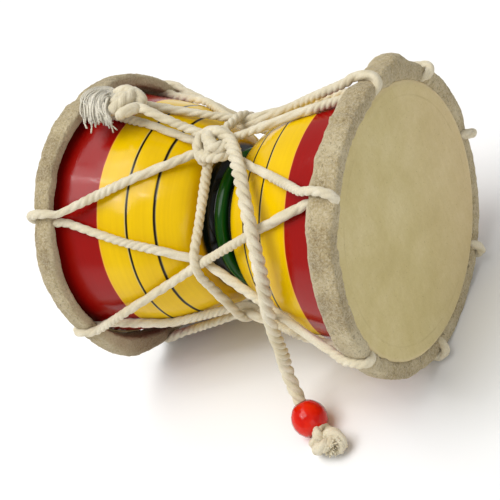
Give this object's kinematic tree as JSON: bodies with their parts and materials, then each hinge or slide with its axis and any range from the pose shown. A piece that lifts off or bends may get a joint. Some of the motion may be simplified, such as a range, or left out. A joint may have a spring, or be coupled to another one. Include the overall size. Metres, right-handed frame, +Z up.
{
  "type": "damaru drum",
  "caption": "Small hourglass hand drum in lacquered turned wood with hide-wrapped hoops, zigzag cotton lacing and a knotted striker cord with a faceted bead.",
  "frame": {"origin": "on the surface the drum lies on, under the middle of the drum, where its two hoops touch at z = 0", "axes": "+X along the drum's axis towards the head nearest the striker bead; -Y to the side the striker cord hangs on; +Z up"},
  "size_m": [0.1514, 0.1421, 0.1282],
  "materials": {
    "lacquered_wood": "gloss lacquer over turned wood: red ends, yellow middle with thin black lines, black waist groove and a green ring",
    "drumhead_skin": "smooth dry parchment with fine pores",
    "hoop_hide": "rough napped hide",
    "cotton_cord": "soft three-strand cotton",
    "bead_plastic": "clear red, cut in facets"
  },
  "bodies": {
    "root": {"drum_body": "lacquered_wood", "near_head_skin": "drumhead_skin", "far_head_skin": "drumhead_skin", "near_hoop": "hoop_hide", "far_hoop": "hoop_hide", "lacing_cord": "cotton_cord", "waist_cord": "cotton_cord", "waist_knot": "cotton_cord", "tie_knot": "cotton_cord", "striker_cord": "cotton_cord", "striker_bead": "bead_plastic", "striker_end_knot": "cotton_cord"}
  },
  "joints": []
}
